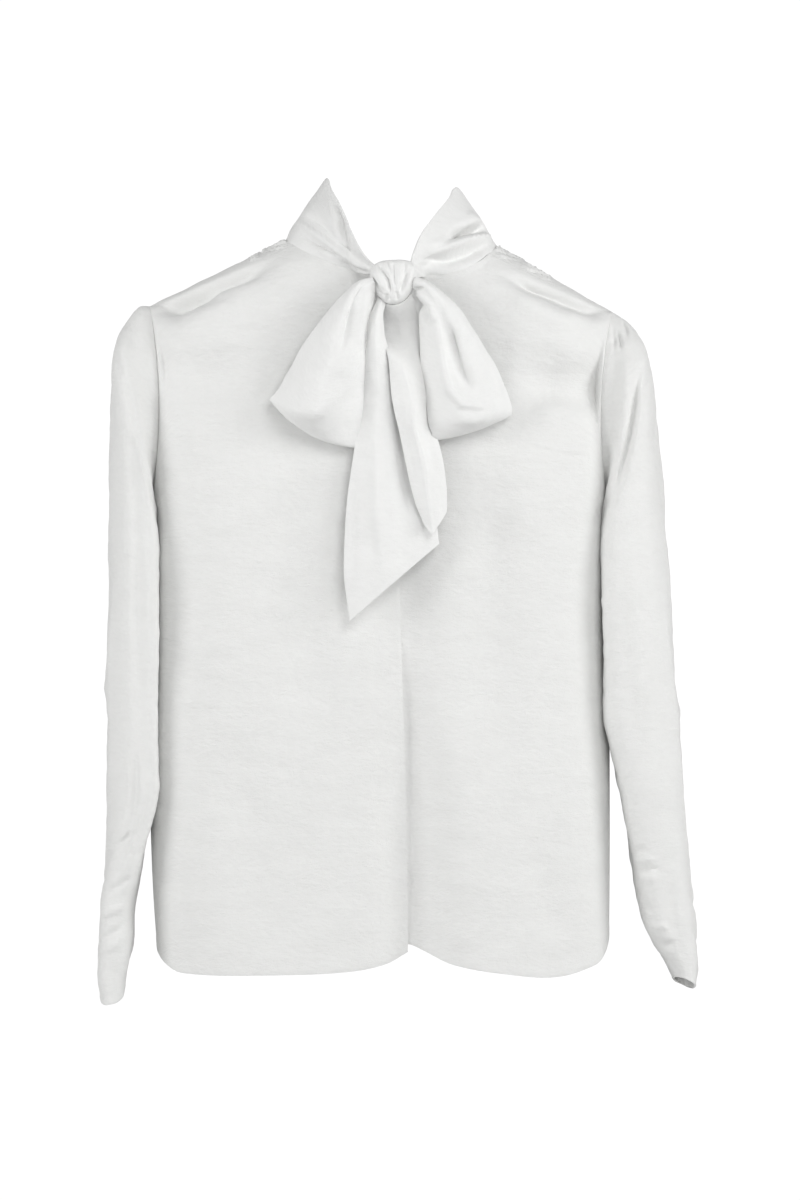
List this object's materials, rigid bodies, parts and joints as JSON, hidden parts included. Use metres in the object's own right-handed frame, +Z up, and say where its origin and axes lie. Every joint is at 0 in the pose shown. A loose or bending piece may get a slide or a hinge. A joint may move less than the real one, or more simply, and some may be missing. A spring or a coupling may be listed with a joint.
{
  "type": "tie-neck blouse",
  "caption": "Long-sleeved tie-neck blouse hanging filled out, with a standing neck band tied in a front bow, a concealed front closing and open hem, wrists and neck.",
  "frame": {"origin": "the point where the blouse is held up, midway between the two points where a shoulder meets the neck", "axes": "+Z up, -Y out of the front, -X towards the wearer's right"},
  "size_m": [0.5306, 0.1782, 0.7306],
  "materials": {
    "crepe_single": "matt off-white crepe with a fine crinkle and a soft low sheen",
    "crepe_double": "the same off-white crepe in two layers, a little lighter"
  },
  "bodies": {
    "root": {"front_right": "crepe_single", "front_left": "crepe_single", "back": "crepe_single", "sleeve_right": "crepe_single", "sleeve_left": "crepe_single", "neck_band": "crepe_double", "bow_knot": "crepe_double", "bow_loop_right": "crepe_double", "bow_loop_left": "crepe_double", "bow_tail_back": "crepe_double", "bow_tail_front": "crepe_double"}
  },
  "joints": []
}
